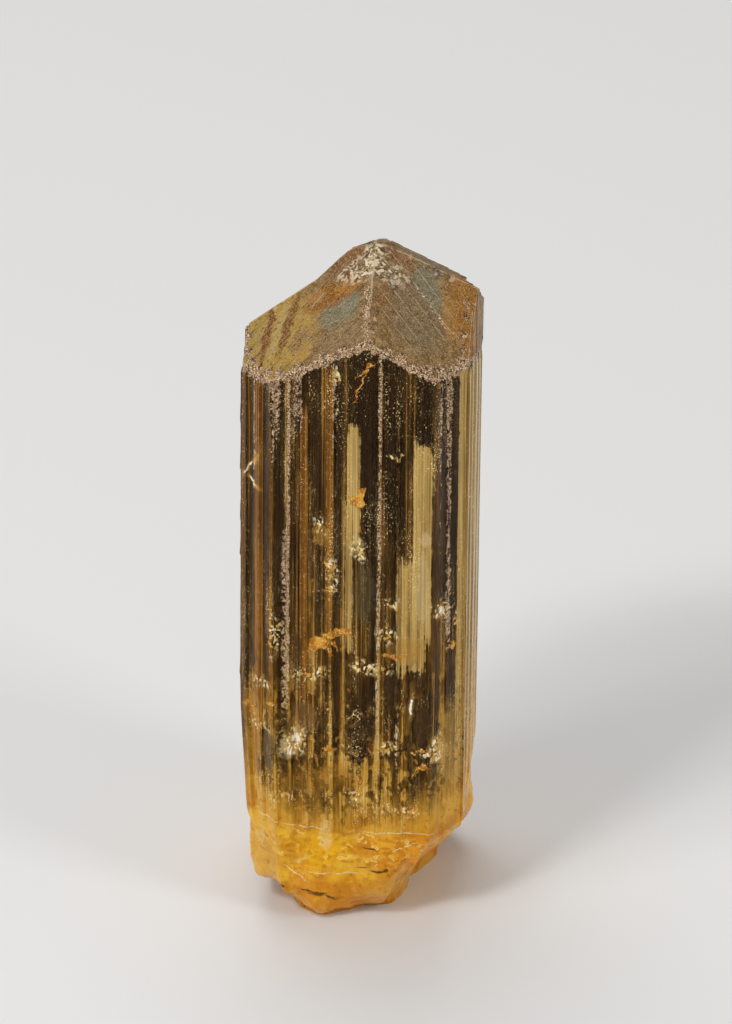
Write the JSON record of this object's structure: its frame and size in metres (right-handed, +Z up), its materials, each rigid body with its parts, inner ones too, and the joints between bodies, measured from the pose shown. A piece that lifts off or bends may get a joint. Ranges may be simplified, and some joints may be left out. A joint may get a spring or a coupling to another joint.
{
  "type": "scapolite crystal",
  "caption": "Golden scapolite crystal: a striated prism with a low pyramid on top and a broken base that it stands on.",
  "frame": {"origin": "on the flat of the broken base that the crystal rests on, under the middle of its outline", "axes": "+Z up along the crystal's long axis to the point of the pyramid, -Y out of the wide face that the picture shows"},
  "size_m": [0.0126, 0.0126, 0.04],
  "materials": {
    "golden_crystal": "Clear golden crystal with glassy striated sides, a rough sugary rim and a milky orange broken base."
  },
  "bodies": {
    "root": {"crystal": "golden_crystal"}
  },
  "joints": []
}
